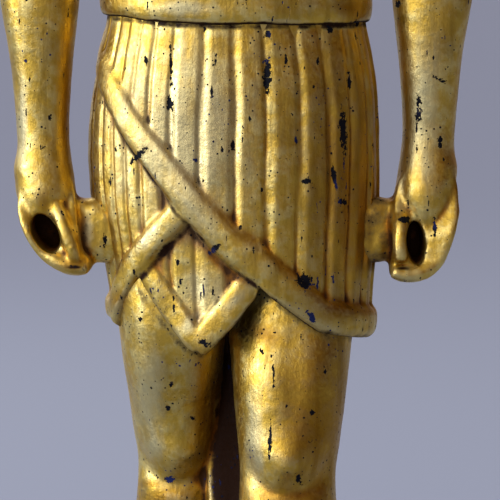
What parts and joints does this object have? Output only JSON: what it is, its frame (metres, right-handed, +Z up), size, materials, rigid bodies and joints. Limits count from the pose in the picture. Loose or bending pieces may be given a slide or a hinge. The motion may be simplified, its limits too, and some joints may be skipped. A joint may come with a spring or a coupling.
{
  "type": "gilded striding figurine",
  "caption": "Gilded carved standing man with one foot forward, hollowed fists, long wig and a pleated wrap kilt with rolled edges, on a low dark rectangular plinth.",
  "frame": {"origin": "middle of the plinth's underside", "axes": "+Z up, the figure faces -Y, +X to the figure's left, which is the viewer's right from the front"},
  "size_m": [0.0948, 0.1016, 0.316],
  "materials": {
    "gilding": "worn gold leaf over a blue-black undercoat on carved wood, soft metallic sheen",
    "dark_varnish": "blue-black varnish on wood, low gloss, slightly rubbed edges"
  },
  "bodies": {
    "root": {"figure": "gilding", "plinth": "dark_varnish"}
  },
  "joints": []
}
